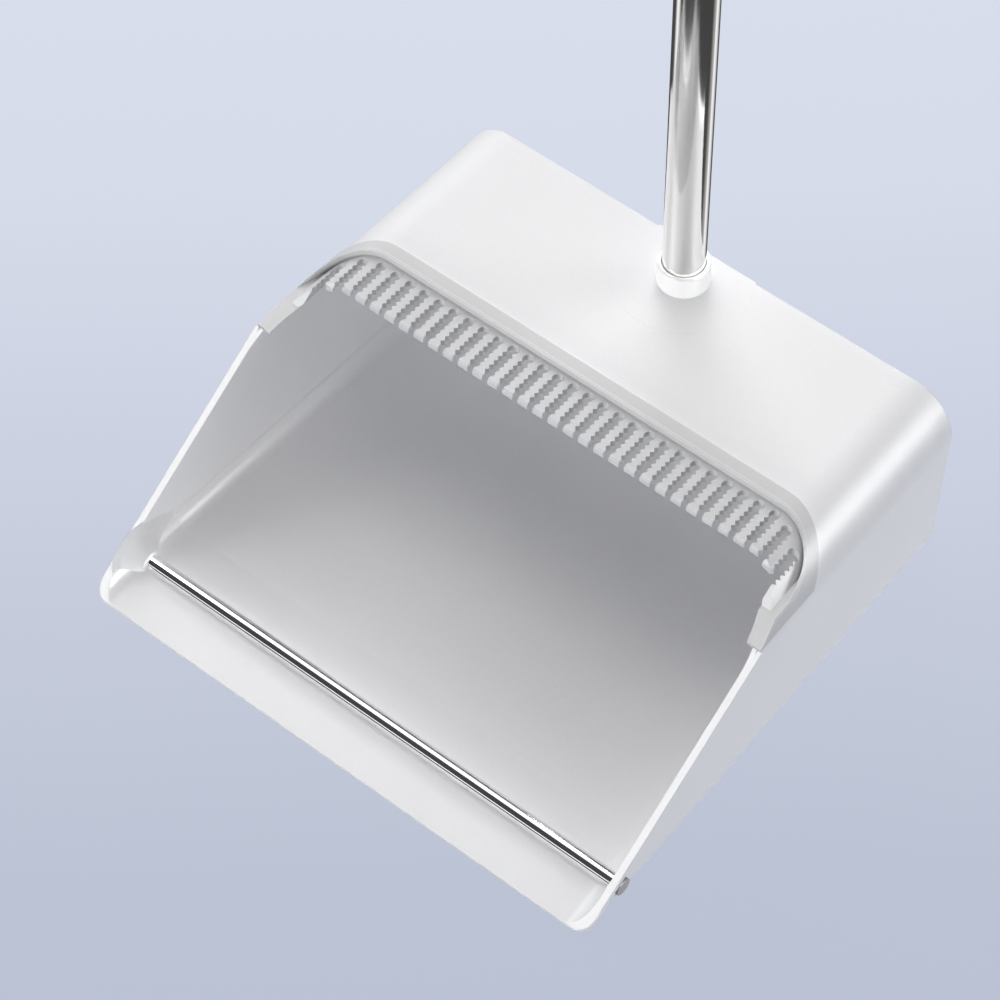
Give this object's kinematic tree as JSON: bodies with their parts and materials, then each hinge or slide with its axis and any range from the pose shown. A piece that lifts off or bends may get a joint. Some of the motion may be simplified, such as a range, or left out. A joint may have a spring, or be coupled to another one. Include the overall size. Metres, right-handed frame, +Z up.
{
  "type": "upright dustpan",
  "caption": "Hooded upright dustpan with a comb across the hood's mouth, a metal bar along the lip and a vertical steel pole with a hand grip.",
  "frame": {"origin": "on the floor under the middle of the pan", "axes": "+X to the right across the pan as seen from the lip, +Y from the lip to the back wall, +Z up along the pole"},
  "size_m": [0.3147, 0.295, 0.8],
  "materials": {
    "shell_white": "fine matte moulded polypropylene",
    "comb_grey": "smooth satin moulded polypropylene, pale grey",
    "collar_white": "gloss white",
    "bar_chrome": "polished",
    "pin_grey": "satin grey",
    "pole_steel": "polished stainless tube",
    "grip_grey": "satin light grey"
  },
  "bodies": {
    "pan": {"pan_shell": "shell_white", "comb_frame": "comb_grey", "pole_collar": "collar_white"},
    "bar": {"front_bar": "bar_chrome", "bar_end_pin": "pin_grey"},
    "pole": {"pole_tube": "pole_steel", "pole_foot": "pin_grey", "hand_grip": "grip_grey", "grip_end_cap": "grip_grey"}
  },
  "joints": [
    {"name": "pole_draw", "type": "slide", "parent": "pan", "child": "pole", "axis": [0, 0, 1], "range_m": [0, 0.036]},
    {"name": "bar_spin", "type": "hinge", "parent": "pan", "child": "bar", "pos_m": [0, -0.1181, 0.0086], "axis": [1, 0, 0], "continuous": true}
  ]
}
